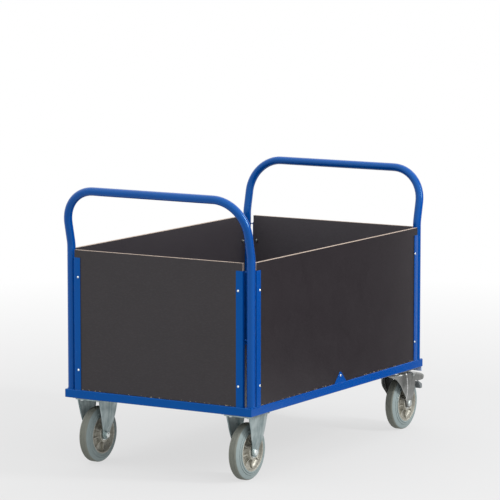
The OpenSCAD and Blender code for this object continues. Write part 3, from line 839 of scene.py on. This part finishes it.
def axle_hardware(bm, side, axle):
    """Bolt with head and washer outside, sleeve inside the fork, and nut on the far leg."""
    place = at(axle, SIDES[side])

    def from_leg(profile, leg):
        return [(r, leg + y) for r, y in in_metres(profile)]

    revolve(bm, from_leg(WASHER, LEG_Y), 40, place)
    revolve(bm, from_leg(BOLT_HEAD, LEG_Y), 24, place, flats=6)
    revolve(bm, from_leg(AXLE_NUT, -LEG_Y), 24, place, flats=6)
    shaft = [*from_leg(THREAD_END, -LEG_Y), *from_leg([(6, 2), (0, 2)], LEG_Y)]
    revolve(bm, shaft, 32, place)
    inner = LEG_Y - SHEET_T
    sleeve = [(BOLT_R, -inner), (SLEEVE_R, -inner), (SLEEVE_R, inner), (BOLT_R, inner)]
    revolve(bm, sleeve, 40, place)


def axle_bolts():
    bm = bmesh.new()
    for side in SIDES:
        axle_hardware(bm, side, centre_of(f"front_{side}_tyre"))
    make_piece("front_axle_hardware", bm, [STEEL], "chassis",
               ["front_axle_bolts"], bevel=0.4 * MM)
    for side in SIDES:
        bm = bmesh.new()
        axle_hardware(bm, side, centre_of(f"rear_{side}_tyre"))
        name = f"rear_{side}_axle"
        make_piece(f"{name}_hardware", bm, [STEEL], f"rear_{side}_swivel",
                   [f"{name}_bolt"], bevel=0.4 * MM)


# Brake in mm, from its pin: (x, height) or (x, half width)
PEDAL_TOP = [(-119, -16), (-105, -8.5), (-80, -1.5), (-40, 5), (0, 10.5), (6, 9)]
PEDAL_FOOT = [(-119, -19), (-112, -26), (-102, -31), (-86, -32), (-58, -31), (-24, -22),
              (-6, -12), (6, -8)]
PEDAL_HALF = [(-119, 31), (-110, 36), (-98, 38), (6, 38)]
PEDAL_TIP, PEDAL_LENGTH = -119, 125
PEDAL_BEND, PEDAL_CROWN = 9, 1.6
PEDAL_T = 3 * MM
TOP_SHARE, BEND_SHARE, CHEEK_SHARE = 0.4, 0.3, 0.3
SHOE_SIDE = [(-82.4, -38), (-86.1, -42), (-89.4, -46), (-93.6, -51.7), (-97.4, -57.5),
             (-100.6, -63.2), (-103.3, -69), (-112, -69.4), (-115.6, -67.5), (-116.5, -63),
             (-116.5, -56), (-114, -51)]
SHOE_HALF = 23 * MM
EYE_R = 6.5 * MM
ARM_Y, ARM_HALF = 24, 1.5


def pedal_surface(x, share):
    """Outer surface of the pedal hood, in mm: a crowned top, and a round shoulder and a cheek on
    either side. Each takes its share of the sheet."""
    top, foot = soft_steps(PEDAL_TOP, x, 6), soft_steps(PEDAL_FOOT, x, 5)
    half = soft_steps(PEDAL_HALF, x, 3)
    bend = min(PEDAL_BEND, (top - foot) * 0.8)
    part = abs(share)
    if part < TOP_SHARE:
        part /= TOP_SHARE
        y, z = part * (half - bend), top - PEDAL_CROWN * part ** 2
    elif part < TOP_SHARE + BEND_SHARE:
        turn = math.radians(90) * (part - TOP_SHARE) / BEND_SHARE
        y = half - bend + bend * math.sin(turn)
        z = top - PEDAL_CROWN - bend * (1 - math.cos(turn))
    else:
        start = top - PEDAL_CROWN - bend
        down = part - (TOP_SHARE + BEND_SHARE)
        y, z = half, start + (min(foot, start - 0.5) - start) * down / CHEEK_SHARE
    return Vector((x, math.copysign(y, share), z)) * MM


def brake(side):
    """Pedal hood pressed from sheet, and the curved shoe behind the tread on its two arms."""
    pin = centre_of(f"rear_{side}_brake_pin")
    body = f"rear_{side}_brake"
    bm = bmesh.new()
    stations = [PEDAL_TIP + PEDAL_LENGTH * k / 40 for k in range(41)]
    sheet(bm, pedal_surface, stations, [k / 20 for k in range(-20, 21)], PEDAL_T, at(pin))
    make_piece(f"rear_{side}_pedal_hood", bm, [ZINC_GREY], body,
               [f"rear_{side}_brake_pedal"], bevel=0.8 * MM, sharp=45)

    bm = bmesh.new()
    block = in_metres(SHOE_SIDE)
    place = at(pin) @ Matrix.Rotation(math.radians(90), 4, "X")
    prism(bm, block, -SHOE_HALF, SHOE_HALF, place)
    eye = [(EYE_R * math.cos(t), EYE_R * math.sin(t)) for t in turns(-70, 131, 20)]
    arm = [*eye, *block[::-1]]
    for m in (-1, 1):
        prism(bm, arm, (m * ARM_Y - ARM_HALF) * MM, (m * ARM_Y + ARM_HALF) * MM, place)
    make_piece(f"rear_{side}_curved_shoe", bm, [BRAKE], body,
               [f"rear_{side}_brake_shoe"], bevel=1.2 * MM, segments=3)


# ---------- CAD nodes that stay ----------

BEVELS = {"mount_plate": 0.8, "cross_member": 0.6, "floor_board": 0.6, "side_lugs": 0.5,
          "corner_stops": 0.8, "top_plate": 1.0, "kingpin": 0.8, "brake_pin": 0.7,
          "caster_bolts": 0.6, "caster_nuts": 0.6, "wall_nuts": 0.5}


def finish_cad_nodes():
    """Gives every CAD node its slot's look, and softens the edges of those that show."""
    for subpart in frame["record"]["subparts"]:
        node = frame["nodes"][subpart["node"]]
        node.data.materials.clear()
        look = NODE_LOOKS.get(node.name, SLOT_LOOKS[subpart["material_slot"]])
        node.data.materials.append(look)
        for part, width in BEVELS.items():
            if part in node.name and not node.hide_render:
                weld = node.modifiers.new("weld", "WELD")
                weld.merge_threshold = 0.01 * MM
                add_bevel(node, width * MM)


# ---------- Floor, light and camera ----------

CAMERA_PLACE = Vector((9.451, 5.761, 2.157))
CAMERA_AIM = Vector((0.219, 0.1375, 0.758))
CAMERA_LENS = 220.7
SKY = (0.05, 0.6, 1.0, 1.8)
KEY_PLACE, KEY_AIM = (-1.0, 5.0, 3.3), (0, 0, 0.5)
KEY_SIZE, KEY_POWER = (0.8, 2.8), 275
FLOOR_R = 14
FLAG_BASE = Vector((0, 0.385, 0))
FLAG_FACING = Vector((-0.854, 0.520, 0))
FLAG_AWAY = 0.9
FLAG_FROM, FLAG_TO, FLAG_HIGH = -0.35, 1.2, 1.5


def area_light(name, place, aim, size, power):
    lamp = bpy.data.lights.new(name, "AREA")
    lamp.shape = "RECTANGLE"
    lamp.size, lamp.size_y = size
    lamp.energy = power
    light = bpy.data.objects.new(name, lamp)
    light.location = place
    light.rotation_euler = (Vector(aim) - Vector(place)).to_track_quat("-Z", "Y").to_euler()
    bpy.context.scene.collection.objects.link(light)


def dark_flag():
    """A dark studio flag beside the long wall, seen by reflections only: satin faces stay deep."""
    bm = bmesh.new()
    across = Vector((FLAG_FACING.y, -FLAG_FACING.x, 0))
    foot = FLAG_BASE + FLAG_FACING * FLAG_AWAY
    corners = ((FLAG_FROM, 0), (FLAG_TO, 0), (FLAG_TO, FLAG_HIGH), (FLAG_FROM, FLAG_HIGH))
    bm.faces.new([bm.verts.new(foot + across * a + Vector((0, 0, z))) for a, z in corners])
    mesh = bpy.data.meshes.new("studio_flag")
    bm.to_mesh(mesh)
    bm.free()
    look = Look("flag_cloth", specular=0.1)
    cloth = look.noise(300, 2)
    mesh.materials.append(look.finish(look.mix(cloth, (0.01, 0.01, 0.01), (0.02, 0.02, 0.02)),
                                      look.ramp(cloth, 0.8, 0.9), cloth, 0.1))
    flag = bpy.data.objects.new("studio_flag", mesh)
    flag.visible_camera = flag.visible_diffuse = flag.visible_shadow = False
    bpy.context.scene.collection.objects.link(flag)


def studio():
    scene = bpy.context.scene
    scene.view_settings.view_transform = "Standard"
    world = bpy.data.worlds.new("studio_white")
    world.use_nodes = True
    tree = world.node_tree
    background = tree.nodes["Background"]
    background.inputs["Color"].default_value = (1, 1, 1, 1)
    direction = tree.nodes.new("ShaderNodeTexCoord").outputs["Generated"]
    split = tree.nodes.new("ShaderNodeSeparateXYZ")
    tree.links.new(direction, split.inputs[0])
    overhead = tree.nodes.new("ShaderNodeMapRange")
    for name, value in zip(("From Min", "From Max", "To Min", "To Max"), SKY):
        overhead.inputs[name].default_value = value
    tree.links.new(split.outputs["Z"], overhead.inputs["Value"])
    tree.links.new(overhead.outputs[0], background.inputs["Strength"])
    scene.world = world

    bm = bmesh.new()
    bmesh.ops.create_circle(bm, cap_ends=True, segments=96, radius=FLOOR_R)
    mesh = bpy.data.meshes.new("studio_floor")
    bm.to_mesh(mesh)
    bm.free()
    mesh.materials.append(pale_floor())
    floor = bpy.data.objects.new("studio_floor", mesh)
    scene.collection.objects.link(floor)

    area_light("key_right", KEY_PLACE, KEY_AIM, KEY_SIZE, KEY_POWER)
    dark_flag()

    camera = bpy.data.objects.new("camera", bpy.data.cameras.new("camera"))
    camera.location = CAMERA_PLACE
    camera.rotation_euler = (CAMERA_AIM - CAMERA_PLACE).to_track_quat("-Z", "Y").to_euler()
    camera.data.sensor_width = 36
    camera.data.lens = CAMERA_LENS
    scene.collection.objects.link(camera)
    scene.camera = camera


# ---------- The truck ----------

studio()
for end in ENDS:
    post_x, post_y = push_bar(end)
for wall in WALLS:
    wall_panel(f"wall_{wall}")
    wall_angles(wall, post_y)
frame_welds(post_x, post_y)
wall_screws()
for side in SIDES:
    fixed_fork(side)
    swivel_fork(side)
    brake(side)
    for end in ENDS:
        tyre(end, side)
        rim(end, side)
axle_bolts()
finish_cad_nodes()
